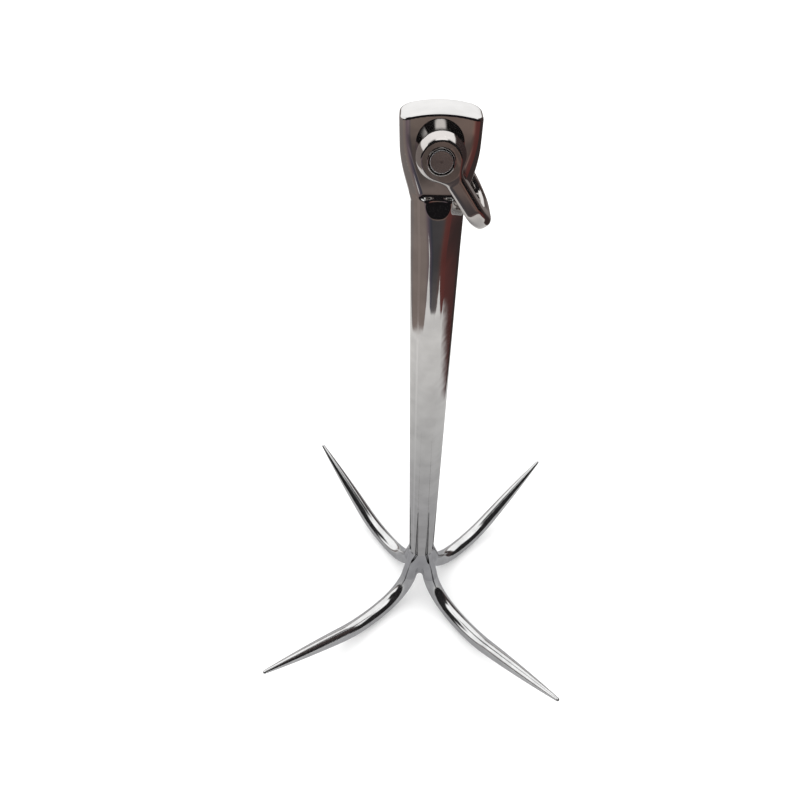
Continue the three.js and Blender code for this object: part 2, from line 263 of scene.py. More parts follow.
def steps(low, high, cell):
    """Evenly spaced coordinates from low to high, no further apart than the cell."""
    return np.linspace(low, high, max(2, math.ceil((high - low) / cell) + 1))


def graded(stops):
    """Coordinates that run through stops, each given with the cell size that follows it."""
    parts = []
    for (low, cell), (high, _) in zip(stops, stops[1:]):
        parts.append(steps(low, high, cell)[:-1])
    return np.concatenate(parts + [[stops[-1][0]]])


def surface_of(field, xs, ys, zs, band=3.0):
    """Quads over the field's surface, from samples on a grid with these coordinates."""
    values = field(xs[:, None, None], ys[None, :, None], zs[None, None, :])
    grid = openvdb.FloatGrid(band)
    grid.copyFromArray(np.clip(values, -band, band).astype(np.float32))
    points, quads = grid.convertToQuads(isovalue=0.0)
    placed = []
    for axis, coordinates in enumerate((xs, ys, zs)):
        placed.append(np.interp(points[:, axis], np.arange(len(coordinates)), coordinates))
    points = settled(field, np.stack(placed, axis=1))
    corners = points[quads]
    facing = np.cross(corners[:, 2] - corners[:, 0], corners[:, 3] - corners[:, 1])
    inward = (facing * slope_of(field, corners.mean(axis=1))).sum(axis=1) < 0
    if inward.mean() > 0.5:
        quads = quads[:, ::-1]
    return points, quads


# ---- meshes ---------------------------------------------------------------------------------

def new_piece(name, points, faces):
    """A mesh object from points in millimetres."""
    mesh = bpy.data.meshes.new(name)
    mesh.from_pydata(points * MM, [], faces)
    mesh.update()
    piece = bpy.data.objects.new(name, mesh)
    bpy.context.scene.collection.objects.link(piece)
    return piece


def shade_smooth(piece, normal_at, least_agreement=0.6):
    """Gives each face corner the true normal of its surface. A face that doesn't follow the
    surface, such as a cut end, stays flat: its own normal and the true one agree too little."""
    mesh = piece.data
    count = len(mesh.vertices)
    points = np.empty(count * 3)
    mesh.vertices.foreach_get("co", points)
    at_vertex = normal_at(points.reshape(-1, 3) / MM)
    faces = len(mesh.polygons)
    face_normals = np.empty(faces * 3)
    mesh.polygons.foreach_get("normal", face_normals)
    face_normals = face_normals.reshape(-1, 3)
    sizes = np.empty(faces, dtype=np.int32)
    mesh.polygons.foreach_get("loop_total", sizes)
    owner = np.repeat(np.arange(faces), sizes)
    vertex = np.empty(len(mesh.loops), dtype=np.int32)
    mesh.loops.foreach_get("vertex_index", vertex)
    normals = at_vertex[vertex]
    flat = (normals * face_normals[owner]).sum(axis=1) < least_agreement
    normals[flat] = face_normals[owner][flat]
    mesh.polygons.foreach_set("use_smooth", np.ones(faces, dtype=bool))
    mesh.normals_split_custom_set(normals)


def cut_off(bm, point, normal):
    """Cuts away the side of a plane that the normal points to, and returns the cut's edges."""
    geometry = bm.verts[:] + bm.edges[:] + bm.faces[:]
    cut = bmesh.ops.bisect_plane(
        bm, geom=geometry, plane_co=Vector(point) * MM, plane_no=Vector(normal), clear_outer=True
    )
    return [item for item in cut["geom_cut"] if isinstance(item, bmesh.types.BMEdge)]


def ring_of_edges(bm, radius, z, sides=64):
    """A level circle of edges about the anchor's axis."""
    corners = []
    for k in range(sides):
        turn = 2 * math.pi * k / sides
        place = Vector((radius * math.cos(turn), radius * math.sin(turn), z)) * MM
        corners.append(bm.verts.new(place))
    return [bm.edges.new((corners[k - 1], corners[k])) for k in range(sides)]


def close_with_step(bm, rim, radius, depth):
    """Closes a level rim at the weld with a face that steps down to a round spigot or socket."""
    ring = ring_of_edges(bm, radius, SHANK_FOOT_Z)
    bmesh.ops.triangle_fill(bm, edges=rim + ring, use_beauty=True)
    wall = bmesh.ops.extrude_edge_only(bm, edges=ring)["geom"]
    lower = [item for item in wall if isinstance(item, bmesh.types.BMVert)]
    for vertex in lower:
        vertex.co.z = (SHANK_FOOT_Z - depth) * MM
    lower_edges = [
        item for item in wall
        if isinstance(item, bmesh.types.BMEdge) and all(v in lower for v in item.verts)
    ]
    bmesh.ops.triangle_fill(bm, edges=lower_edges, use_beauty=True)


def edit_mesh(piece, edit=None):
    """Applies an edit to the piece's mesh, if there is one, and faces the mesh outward."""
    bm = bmesh.new()
    bm.from_mesh(piece.data)
    if edit:
        edit(bm)
    bmesh.ops.recalc_face_normals(bm, faces=bm.faces[:])
    bm.to_mesh(piece.data)
    bm.free()


# ---- shank ----------------------------------------------------------------------------------

def bezier_height(controls, z, samples=200):
    """Height at z of a cubic Bezier curve given by its four (z, height) points."""
    t = np.linspace(0, 1, samples)[:, None]
    a, b, c, d = (np.array(point, dtype=float) for point in controls)
    curve = (1 - t)**3 * a + 3 * (1 - t)**2 * t * b + 3 * (1 - t) * t**2 * c + t**3 * d
    return np.interp(z, curve[:, 0], curve[:, 1])


def bar_half(z):
    """Half the bar's width between opposite facets."""
    return FOOT_HALF + (TOP_HALF - FOOT_HALF) * (z - SHANK_FOOT_Z) / (HEAD_BASE_Z - SHANK_FOOT_Z)


def octagon(x, y, half_x, half_y, reach, edge):
    """An octagonal section: side and front facets at their half widths, and corner facets
    where x + y is the reach. Each facet is very slightly crowned by polishing."""
    across, deep = np.abs(x), np.abs(y)
    crown = FACET_CROWN / FOOT_HALF**2
    side = across - half_x + crown * deep**2
    front = deep - half_y + crown * across**2
    corner = (across + deep - reach) / ROOT2 + crown * (across - deep)**2 / 2
    return soft_max(soft_max(side, front, edge), corner, edge)


def bar_reach(z):
    """|x| + |y| on a corner facet of the bar."""
    height = np.maximum((z - SHANK_FOOT_Z) / (HEAD_BASE_Z - SHANK_FOOT_Z), 0)
    gone = GRIND_RUNOUT * smoothstep((z - GRIND_RUNOUT_Z) / (HEAD_BASE_Z - GRIND_RUNOUT_Z))
    return bar_half(z) * ROOT2 - CORNER_GRIND * height * (1 - gone)


def groove_field(x, y, z, radius):
    """A groove along each edge of the bar's octagon."""
    across, deep = np.abs(x), np.abs(y)
    half = bar_half(z)
    wide = np.maximum(across, deep) - half + GROOVE_SINK
    narrow = np.minimum(across, deep) - (bar_reach(z) - half)
    return np.hypot(wide, narrow) - radius


def bar_field(x, y, z):
    half = bar_half(z)
    bar = octagon(x, y, half, half, bar_reach(z), BAR_EDGE)
    depth = np.clip((GROOVE_TOP_Z - z) / (GROOVE_TOP_Z - SHANK_FOOT_Z), 0, 1)
    groove = groove_field(x, y, z, GROOVE_RADIUS * depth**GROOVE_FADE_POWER - GROOVE_EDGE)
    return np.where(depth > 0, soft_max(bar, -groove, GROOVE_EDGE), bar)


def head_field(x, y, z):
    half = bar_half(z)
    half_x = half + bezier_height(SIDE_RISE, z)
    reach = bar_reach(z) + bezier_height(CORNER_RISE, z)
    bar = octagon(x, y, half_x, half, reach, BAR_EDGE)
    outside = np.abs(y) - HEAD_HALF_THICKNESS
    pocket = soft_max(-outside, POCKET_END_Z - z, POCKET_FILLET)
    milled = soft_max(bar, -pocket, FLAT_EDGE)
    from_cove = np.sqrt(x**2 + (outside - COVE_LIP - COVE_RADIUS)**2 + (z - POCKET_END_Z)**2)
    milled = soft_max(milled, COVE_RADIUS - from_cove, COVE_EDGE)
    dome = np.hypot(x, z - (HEIGHT - DOME_RADIUS)) - DOME_RADIUS
    domed = soft_max(milled, dome, DOME_EDGE)
    bore = HEAD_BORE_RADIUS - np.hypot(x, z - PIN_Z)
    return soft_max(domed, bore, BORE_EDGE)


def shank_field(x, y, z):
    return np.where(z < COVE_BOTTOM_Z, bar_field(x, y, z), head_field(x, y, z))


def make_shank():
    """The cells are fine at the ledge of the head and long where the bar is plain."""
    half_width = 19.2
    half_depth = 14.2
    cell = 0.35
    head_cell = 0.36
    margin = 2
    across = steps(-half_width, half_width, cell)
    deep = steps(-half_depth, half_depth, cell)
    up = graded([
        (SHANK_FOOT_Z - 3 * margin, 2.2),
        (GROOVE_TOP_Z, 5),
        (GRIND_RUNOUT_Z, 1),
        (COVE_BOTTOM_Z, head_cell),
        (POCKET_END_Z - margin, 0.15),
        (POCKET_END_Z + margin, head_cell),
        (HEIGHT + margin, head_cell),
    ])
    piece = new_piece("shank_polished", *surface_of(shank_field, across, deep, up))

    def finish_foot(bm):
        rim = cut_off(bm, (0, 0, SHANK_FOOT_Z), (0, 0, -1))
        close_with_step(bm, rim, SPIGOT_RADIUS, SPIGOT_LENGTH)

    edit_mesh(piece, finish_foot)
    shade_smooth(piece, lambda points: unit(slope_of(shank_field, points)))
    return piece


# ---- flukes ---------------------------------------------------------------------------------

def fluke_runs():
    """The straights and arcs of a fluke's centreline, as (length, bend) pairs."""
    return [
        (STUB_LENGTH, 0),
        (ELBOW_RADIUS * math.radians(ELBOW_TURN), 1 / ELBOW_RADIUS),
        (BELLY_RADIUS * math.radians(BELLY_TURN), 1 / BELLY_RADIUS),
        (POINT_LENGTH, 0),
    ]


FLUKE_LENGTH = sum(length for length, _ in fluke_runs())


def fluke_path(distance):
    """Reach from the axis, height and heading at a distance along the centreline."""
    reach, z = STUB_REACH, SHANK_FOOT_Z
    heading = math.radians(STUB_SLOPE)
    left = distance
    for length, bend in fluke_runs():
        part = min(left, length)
        ahead = heading + part * bend
        if bend:
            reach += (math.sin(ahead) - math.sin(heading)) / bend
            z -= (math.cos(ahead) - math.cos(heading)) / bend
        else:
            reach += part * math.cos(heading)
            z += part * math.sin(heading)
        heading = ahead
        left -= part
    return reach, z, heading


def fluke_radius(distance):
    """The rod's radius: it swells along the stub, tapers to the point and is rounded there."""
    full = ROOT_RADIUS + (ROD_RADIUS - ROOT_RADIUS) * smoothstep(distance / STUB_LENGTH)
    left = np.maximum(FLUKE_LENGTH - distance, 0)
    taper = np.minimum(left / POINT_TAPER, 1)
    narrowed = TIP_RADIUS + (full - TIP_RADIUS) * (1 - (1 - taper)**2)
    roundness = np.minimum(left / TIP_ROUNDING, 1)
    return narrowed * np.sqrt(roundness * (2 - roundness))


def fluke_distances(ring_gap=1.4, tip_rings=8, end_gap=0.004):
    """Distances along the centreline of the rod's rings, which crowd together at the tip."""
    quarter = np.linspace(math.pi / 2, 0, tip_rings + 1)[:-1]
    tip = FLUKE_LENGTH - TIP_ROUNDING * (1 - np.cos(quarter))
    body = steps(STUB_LENGTH, FLUKE_LENGTH - TIP_ROUNDING, ring_gap)
    distances = np.concatenate([body[:-1], tip])
    return np.unique(np.clip(distances, STUB_LENGTH, FLUKE_LENGTH - end_gap))


def ring_faces(rings, sides):
    """Quads between neighbouring rings, and one face on each end."""
    faces = []
    for ring in range(rings - 1):
        for k in range(sides):
            step = (k + 1) % sides
            low, high = ring * sides, (ring + 1) * sides
            faces.append((low + k, high + k, high + step, low + step))
    first = list(range(sides))
    last = [(rings - 1) * sides + k for k in reversed(range(sides))]
    return faces + [first, last]


def make_fluke(name, azimuth, sides=56, probe=0.002):
    turn = np.arange(sides) * 2 * math.pi / sides
    distances = fluke_distances()
    points, normals = [], []
    for distance in distances:
        reach, z, heading = fluke_path(distance)
        radius = float(fluke_radius(distance))
        widening = float(fluke_radius(distance + probe) - fluke_radius(distance - probe))
        slope = widening / (2 * probe)
        up = np.array([-math.sin(heading), 0, math.cos(heading)])
        along = np.array([math.cos(heading), 0, math.sin(heading)])
        side = np.array([0.0, 1.0, 0.0])
        spokes = np.outer(np.cos(turn), side) + np.outer(np.sin(turn), up)
        points.append(np.array([reach, 0, z]) + radius * spokes)
        normals.append(unit(spokes - slope * along))
    angle = math.radians(azimuth + CROWN_TURN)
    turned = np.array([
        [math.cos(angle), -math.sin(angle), 0],
        [math.sin(angle), math.cos(angle), 0],
        [0, 0, 1],
    ])
    points = np.concatenate(points) @ turned.T
    normals = np.concatenate(normals) @ turned.T
    piece = new_piece(name + "_rod", points, ring_faces(len(distances), sides))
    edit_mesh(piece)
    shade_smooth(piece, lambda _: normals)
    return piece


# ---- crown ----------------------------------------------------------------------------------

def turned_back(x, y, degrees):
    """The point turned the other way, so that a field of it is turned by these degrees."""
    angle = np.radians(degrees)
    return x * np.cos(angle) + y * np.sin(angle), y * np.cos(angle) - x * np.sin(angle)


def stub_field(x, y, z, azimuth):
    """The first stretch of a fluke's rod, which is part of the crown."""
    slope = math.radians(STUB_SLOPE)
    from_axis, sideways = turned_back(x, y, azimuth + CROWN_TURN)
    outward = from_axis - STUB_REACH
    above = z - SHANK_FOOT_Z
    distance = outward * math.cos(slope) + above * math.sin(slope)
    upward = above * math.cos(slope) - outward * math.sin(slope)
    return np.hypot(sideways, upward) - fluke_radius(np.clip(distance, 0, STUB_LENGTH))


def hub_frame(x, y, z):
    """The point in the hub's frame, which is turned more and more below the weld, and the
    reach of the hub's corner facets there."""
    below = SHANK_FOOT_Z - z
    across, deep = turned_back(x, y, CROWN_TURN * smoothstep(below / CROWN_TWIST_HEIGHT))
    down = np.clip(below / (SHANK_FOOT_Z - CROWN_BOTTOM_Z), 0, 1)
    foot_reach = FOOT_HALF * ROOT2
    return across, deep, foot_reach + (CROWN_BOTTOM_REACH - foot_reach) * down


def hub_field(x, y, z):
    across, deep, reach = hub_frame(x, y, z)
    hub = octagon(across, deep, FOOT_HALF, FOOT_HALF, reach, CROWN_EDGE)
    return soft_max(hub, CROWN_BOTTOM_Z - z, 2 * CROWN_EDGE)


def seam_field(x, y, z):
    """The fine grooves that carry on beside the hub's front and back facets."""
    across, deep, reach = hub_frame(x, y, z)
    wide = np.abs(deep) - FOOT_HALF + SEAM_SINK
    narrow = np.abs(across) - (reach - FOOT_HALF)
    fade = smoothstep((z - SEAM_BOTTOM_Z) / SEAM_FADE_HEIGHT)
    return np.hypot(wide, narrow) - SEAM_RADIUS * fade


def crown_field(x, y, z):
    stubs = [stub_field(x, y, z, azimuth) for azimuth in FLUKES.values()]
    legs = stubs[0]
    for stub in stubs[1:]:
        legs = soft_min(legs, stub, STUB_BLEND)
    whole = soft_min(hub_field(x, y, z), legs, STUB_BLEND)
    return soft_max(whole, -seam_field(x, y, z), SEAM_EDGE)


def crown_with_foot(x, y, z):
    """The crown below the weld, and the shank's bar above it, so that the two meet smoothly."""
    lift = smoothstep((z - SHANK_FOOT_Z + WELD_OVERLAP) / WELD_OVERLAP)
    return crown_field(x, y, z) * (1 - lift) + bar_field(x, y, z) * lift


def make_crown():
    half = 24
    hub_half = 17
    cell = 0.4
    wide = graded([(-half, cell), (-hub_half, 0.28), (hub_half, cell), (half, cell)])
    stub_bottom = 30
    up = steps(stub_bottom, SHANK_FOOT_Z + WELD_OVERLAP, 0.32)
    piece = new_piece("crown_ground", *surface_of(crown_with_foot, wide, wide, up))
    reach, z, heading = fluke_path(STUB_LENGTH)

    def trim(bm):
        for azimuth in FLUKES.values():
            angle = math.radians(azimuth + CROWN_TURN)
            out = Vector((math.cos(angle), math.sin(angle), 0))
            centre = out * reach + Vector((0, 0, z))
            along = out * math.cos(heading) + Vector((0, 0, math.sin(heading)))
            trim_stub(bm, centre, along)
        rim = cut_off(bm, (0, 0, SHANK_FOOT_Z), (0, 0, 1))
        close_with_step(bm, rim, SOCKET_RADIUS, SOCKET_DEPTH)

    edit_mesh(piece, trim)
    shade_smooth(piece, lambda points: unit(slope_of(crown_with_foot, points)))
    return piece


def trim_stub(bm, centre, along, margin=6, least_height=1e-3):
    """Cuts one stub square, where its fluke starts, and closes the cut. The margin keeps the
    cut to this stub."""
    near = [
        face for face in bm.faces
        if (face.calc_center_median() / MM - centre).length < ROD_RADIUS + margin
    ]
    geometry = set(near)
    for face in near:
        geometry.update(face.verts)
        geometry.update(face.edges)
    cut = bmesh.ops.bisect_plane(
        bm, geom=list(geometry), plane_co=centre * MM, plane_no=along, clear_outer=False
    )
    rim = [item for item in cut["geom_cut"] if isinstance(item, bmesh.types.BMEdge)]
    beyond = [
        vertex for vertex in bm.verts
        if (vertex.co / MM - centre).dot(along) > least_height
        and (vertex.co / MM - centre).length < ROD_RADIUS + 2 * margin
    ]
    bmesh.ops.delete(bm, geom=beyond, context="VERTS")
    rim = [edge for edge in rim if edge.is_valid]
    bmesh.ops.triangle_fill(bm, edges=rim, use_beauty=True)


# ---- shackle --------------------------------------------------------------------------------

def squircle(a, b, half_a, half_b, squareness):
    """A bar's section between a circle (squareness 2) and a rectangle with round corners."""
    a, b = np.abs(a) / half_a, np.abs(b) / half_b
    return (a**squareness + b**squareness)**(1 / squareness) - 1


def rounded_sum(a, b, power, least=1e-6):
    """The length of (a, b) when a circle's square is replaced by this power."""
    return (a**power + b**power + least)**(1 / power)


def bow_bar_field(x, y, z):
    """The U of the bow. Its arms are flat-faced and thick, and its bends are rounder."""
    bend_z = BEND_RADIUS - BOW_REACH
    half_width = SHACKLE_INSIDE / 2 + BAR_RADIUS
    down = np.clip(z / bend_z, 0, 1)
    around = smoothstep((bend_z - z) / BEND_RADIUS)
    half = ARM_ROOT_HALF + (ARM_END_HALF - ARM_ROOT_HALF) * down
    half = half + (BAR_RADIUS - ARM_END_HALF) * around
    middle = SHACKLE_INSIDE / 2 + half
    arm = squircle(x, np.abs(y) - middle, BAR_RADIUS, half, ARM_SQUARENESS)
    out = np.maximum(np.abs(y) - (half_width - BEND_RADIUS), 0)
    below = np.maximum(bend_z - z, 0)
    bend = rounded_sum(out, below, BEND_POWER) - BEND_RADIUS - (half - BAR_RADIUS)
    squareness = ARM_SQUARENESS + (BEND_SQUARENESS - ARM_SQUARENESS) * around
    curve = squircle(x, bend, BAR_RADIUS, half, squareness)
    return np.where(z > bend_z, np.maximum(arm, z / BAR_RADIUS), curve) * BAR_RADIUS


def ear_half(radial, inset, face_radius, depth, power):
    """One face of the ear and the flank that rounds back from it, on a curve that reaches
    the full radius at a depth behind the face."""
    out = np.maximum(radial - face_radius, 0) / (EAR_RADIUS - face_radius)
    back = np.maximum(depth - inset, 0) / depth
    scale = np.minimum(EAR_RADIUS - face_radius, depth)
    return (rounded_sum(out, back, power) - 1) * scale


def ear_field(x, y, z):
    radial = np.hypot(x, z)
    inward = np.abs(y) - SHACKLE_INSIDE / 2
    outward = EAR_THICKNESS - inward
    behind = EAR_THICKNESS - EAR_FACE_DEPTH
    front = ear_half(radial, outward, EAR_FACE_RADIUS, EAR_FACE_DEPTH, EAR_FRONT_POWER)
    back = ear_half(radial, inward, EAR_BACK_RADIUS, behind, EAR_BACK_POWER)
    return np.maximum(front, back)


def bow_field(x, y, z):
    metal = soft_min(ear_field(x, y, z), bow_bar_field(x, y, z), NECK_BLEND)
    radial = np.hypot(x, z)
    boss = BOSS_HEIGHT * smoothstep((BOSS_RADIUS + BOSS_RIM / 2 - radial) / BOSS_RIM)
    face = SHACKLE_INSIDE / 2 + EAR_THICKNESS - BOSS_HEIGHT + boss
    metal = soft_max(metal, np.abs(y) - face, EAR_EDGE)
    inside = SHACKLE_INSIDE / 2 - np.abs(y)
    metal = np.where(z > -NECK_BOTTOM, soft_max(metal, inside, EAR_EDGE), metal)
    bore_radius = np.where(y < 0, FRONT_BORE_RADIUS, BACK_BORE_RADIUS)
    return soft_max(metal, bore_radius - radial, BORE_EDGE)


def make_bow():
    cell = 0.4
    boss_cell = 0.2
    margin = 1.2
    half = EAR_RADIUS + margin
    rim = BOSS_RADIUS + margin / 2
    wide = graded([(-half, cell), (-rim, boss_cell), (rim, cell), (half, cell)])
    face = SHACKLE_INSIDE / 2 + EAR_THICKNESS
    in_ear = 2
    inside = SHACKLE_INSIDE / 2 + in_ear
    over_face = 0.8
    deep = graded([
        (-face - over_face, boss_cell),
        (-face + 2 * over_face, cell),
        (-inside, cell),
        (inside, cell),
        (face + over_face, cell),
    ])
    low = -BOW_REACH - BAR_RADIUS - margin
    up = graded([(low, cell), (-rim, boss_cell), (rim, cell), (half, cell)])
    piece = new_piece("shackle_bow_forged", *surface_of(bow_field, wide, deep, up))
    shade_smooth(piece, lambda points: unit(slope_of(bow_field, points)))
    swing = Matrix.Rotation(-math.radians(SHACKLE_TILT), 4, "Y")
    piece.matrix_world = Matrix.Translation((0, 0, PIN_Z * MM)) @ swing
    return piece


# ---- pin ------------------------------------------------------------------------------------

def pin_field(x, y, z):
    face = SHACKLE_INSIDE / 2 + EAR_THICKNESS
    radial = np.hypot(x, z)
    shaft = soft_max(radial - PIN_RADIUS, np.maximum(-face - y, y - face - PIN_TAIL), PIN_EDGE)
    collar_end = COLLAR_START + COLLAR_THICKNESS
    ends = np.maximum(COLLAR_START - y, y - collar_end)
    collar = soft_max(radial - COLLAR_RADIUS, ends, 2 * PIN_EDGE)
    around = np.hypot(x, y - (collar_end + EYE_RADIUS - EYE_SINK))
    level = np.abs(z) - EYE_THICKNESS / 2
    eye = soft_max(around - EYE_RADIUS, level, EYE_EDGE)
    metal = soft_min(collar, eye, EYE_BLEND)
    metal = np.minimum(shaft, soft_max(metal, COLLAR_START - y, PIN_EDGE))
    hole = EYE_HOLE_RADIUS - around
    return soft_max(metal, hole, EYE_EDGE)


def make_pin():
    cell = 0.35
    end_cell = 0.2
    eye_cell = 0.3
    margin = 1
    over_end = 0.6
    half = EYE_RADIUS + margin
    rim = PIN_RADIUS + margin / 2
    top = COLLAR_RADIUS + margin
    front, back = (corner.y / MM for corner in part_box("shackle_pin"))
    wide = graded([(-half, cell), (-rim, end_cell), (rim, cell), (half, cell)])
    deep = graded([
        (front - over_end, 0.15),
        (front + 2 * over_end, 0.8),
        (COLLAR_START - margin, eye_cell),
        (back + margin, eye_cell),
    ])
    up = graded([(-top, cell), (-rim, end_cell), (rim, cell), (top, cell)])
    piece = new_piece("shackle_pin_turned", *surface_of(pin_field, wide, deep, up))
    shade_smooth(piece, lambda points: unit(slope_of(pin_field, points)))
    piece.matrix_world = Matrix.Translation((0, 0, PIN_Z * MM))
    return piece


# ---- node helpers ---------------------------------------------------------------------------

def add_node(tree, kind, inputs=None, **settings):
    """A new node with its settings, and its inputs set to values or linked to sockets."""
    node = tree.nodes.new(kind)
    for key, value in settings.items():
        setattr(node, key, value)
    for key, value in (inputs or {}).items():
        if isinstance(value, bpy.types.NodeSocket):
            tree.links.new(value, node.inputs[key])
        else:
            node.inputs[key].default_value = value
    return node


def calculate(tree, operation, *values):
    inputs = dict(enumerate(values))
    return add_node(tree, "ShaderNodeMath", inputs, operation=operation).outputs[0]


def product(tree, first, second):
    return calculate(tree, "MULTIPLY", first, second)


def scaled(tree, vector, factor):
    node = add_node(tree, "ShaderNodeVectorMath", {0: vector}, operation="SCALE")
    node.inputs["Scale"].default_value = factor
    return node.outputs[0]


def smooth_between(tree, value, low, high):
    """0 where the value is under low, 1 over high, and a smooth rise between."""
    inputs = {"Value": value, "From Min": low, "From Max": high}
    node = add_node(tree, "ShaderNodeMapRange", inputs, interpolation_type="SMOOTHSTEP")
    return node.outputs[0]


def mix_colours(tree, share, first, second):
    """The first colour where the share is 0, and the second where it is 1."""
    share_input, first_input, second_input, colour_output = 0, 6, 7, 2
    inputs = {share_input: share}
    for index, colour in ((first_input, first), (second_input, second)):
        inputs[index] = (*colour, 1) if isinstance(colour, tuple) else colour
    node = add_node(tree, "ShaderNodeMix", inputs, data_type="RGBA", clamp_factor=True)
    return node.outputs[colour_output]


def colour_ramp(tree, value, stops):
    """A colour for the value, between stops that each give a place from 0 to 1 and a colour."""
    node = add_node(tree, "ShaderNodeValToRGB", {"Fac": value})
    elements = node.color_ramp.elements
    while len(elements) < len(stops):
        elements.new(1)
    for element, (place, colour) in zip(elements, stops):
        element.position = place
        element.color = (*colour, 1)
    return node.outputs["Color"]


# ---- steel ----------------------------------------------------------------------------------

# The finish: noise scales are per metre, and depths and distances are in metres.
CLOUD_SCALE = (70, 70, 70)
FINE_SCALE = (2600, 2600, 2600)
WAVE_DEPTH = 0.00007
SCRATCH_DEPTH = 0.0000012
FINE_DEPTH = 0.0000004
CLOUD_RANGE = (0.3, 0.7)
RUBBED_POINTINESS = (0.52, 0.6)
CREVICE_REACH = 0.0025
CREVICE_OPENNESS = (0.93, 0.65)
DULL_SHADE = 0.86
RUBBED_SHADE = 1.1
RUBBED_SHARE = 0.6
# Painted shade: crevices found by the occlusion node are darkened to this share of the tint, and
# they are also made rougher.
CREVICE_PAINTED_SHADE = 0.22
CREVICE_PAINTED_SHADE_SHARE = 0.85
LEAST_ROUGHNESS_SHARE = 0.5
RUBBED_ROUGHNESS = 0.05
CREVICE_ROUGHNESS = 0.18

# The turned end of the pin: sizes are in metres, and the rest are shares and colours.
RING_PITCH = 0.0009
RING_DEPTH = 0.000004
CENTRE_RADII = (0.0009, 0.0004)
CENTRE_COLOUR = (0.12, 0.11, 0.11)
CENTRE_SHARE = 0.4
RIM_RADIUS = 0.0049
RIM_HALF_WIDTH = 0.0003
RIM_CORE = 0.6
# The rim's painted highlight: a pale grey and how much of it covers the rim.
RIM_HIGHLIGHT_GREY = 0.9
RIM_HIGHLIGHT_SHARE = 0.8
RIM_ROUGHNESS = 0.45
END_DEPTH = 0.0006
END_SOFTNESS = 0.0001


def stretched_noise(tree, coordinates, scale, detail):
    mapping = add_node(tree, "ShaderNodeMapping", {"Vector": coordinates, "Scale": scale})
    inputs = {"Vector": mapping.outputs[0], "Scale": 1, "Detail": detail}
    return add_node(tree, "ShaderNodeTexNoise", inputs).outputs["Fac"]


def grey(value, warmth=0.0):
    """A grey, with more red and less blue in it the warmer it is."""
    return (value * (1 + warmth), value, value * (1 - warmth))


def shaded(colour, factor):
    return tuple(min(1, factor * channel) for channel in colour)


def bump(tree, height, depth, normal=None):
    inputs = {"Height": height, "Distance": depth, "Strength": 1}
    if normal is not None:
        inputs["Normal"] = normal
    return add_node(tree, "ShaderNodeBump", inputs).outputs[0]


def new_tree(owner):
    """The owner's empty node tree."""
    owner.use_nodes = True
    owner.node_tree.nodes.clear()
    return owner.node_tree


def steel_colour(tree, tint, cloud, rubbed, hollow):
    """Slightly uneven, brighter on rubbed edges, and darkened in crevices with painted shade
    where the occlusion is high.
    """
    patches = smooth_between(tree, cloud, *CLOUD_RANGE)
    rubbed = product(tree, rubbed, RUBBED_SHARE)
    painted_shade = product(tree, hollow, CREVICE_PAINTED_SHADE_SHARE)
    colour = mix_colours(tree, patches, shaded(tint, DULL_SHADE), tint)
    colour = mix_colours(tree, rubbed, colour, shaded(tint, RUBBED_SHADE))
    return mix_colours(tree, painted_shade, colour, shaded(tint, CREVICE_PAINTED_SHADE))


def steel_roughness(tree, roughness, scratch, rubbed, hollow):
    """Rougher in scratches, on rubbed edges and in crevices."""
    least = roughness * LEAST_ROUGHNESS_SHARE
    spread = calculate(tree, "MULTIPLY_ADD", scratch, roughness, least)
    spread = calculate(tree, "MULTIPLY_ADD", rubbed, RUBBED_ROUGHNESS, spread)
    return calculate(tree, "MULTIPLY_ADD", hollow, CREVICE_ROUGHNESS, spread)


def steel(name, tint, roughness, grain, wave=1.0, turned_end=None):
    """Polished steel: fine polishing scratches along the grain, a slow waviness that bends
    reflections, a slightly uneven colour, edges that are rubbed brighter, and painted shade that
    darkens crevices. A turned end, given by its place along the piece's Y axis, also has lathe
    rings and a painted highlight on its rim."""
    material = bpy.data.materials.new(name)
    tree = new_tree(material)
    coordinates = add_node(tree, "ShaderNodeTexCoord").outputs["Object"]
    scratch = stretched_noise(tree, coordinates, grain, 3)
    cloud = stretched_noise(tree, coordinates, CLOUD_SCALE, 2)
    fine = stretched_noise(tree, coordinates, FINE_SCALE, 2)
    point = add_node(tree, "ShaderNodeNewGeometry").outputs["Pointiness"]
    rubbed = smooth_between(tree, point, *RUBBED_POINTINESS)
    # The occlusion that places the painted shade in crevices and between parts.
    crevice = add_node(tree, "ShaderNodeAmbientOcclusion", {"Distance": CREVICE_REACH}, samples=6)
    hollow = smooth_between(tree, crevice.outputs["AO"], *CREVICE_OPENNESS)

    colour = steel_colour(tree, tint, cloud, rubbed, hollow)
    spread = steel_roughness(tree, roughness, scratch, rubbed, hollow)
    normal = bump(tree, product(tree, cloud, wave), WAVE_DEPTH)
    normal = bump(tree, scratch, SCRATCH_DEPTH, normal)
    normal = bump(tree, fine, FINE_DEPTH, normal)
    if turned_end is not None:
        finish = (normal, colour, spread)
        normal, colour, spread = lathe_rings(tree, coordinates, turned_end, *finish)

    surface = add_node(tree, "ShaderNodeBsdfPrincipled", {
        "Base Color": colour, "Metallic": 1, "Roughness": spread, "Normal": normal,
    })
    output = add_node(tree, "ShaderNodeOutputMaterial")
    tree.links.new(surface.outputs[0], output.inputs[0])
    return material


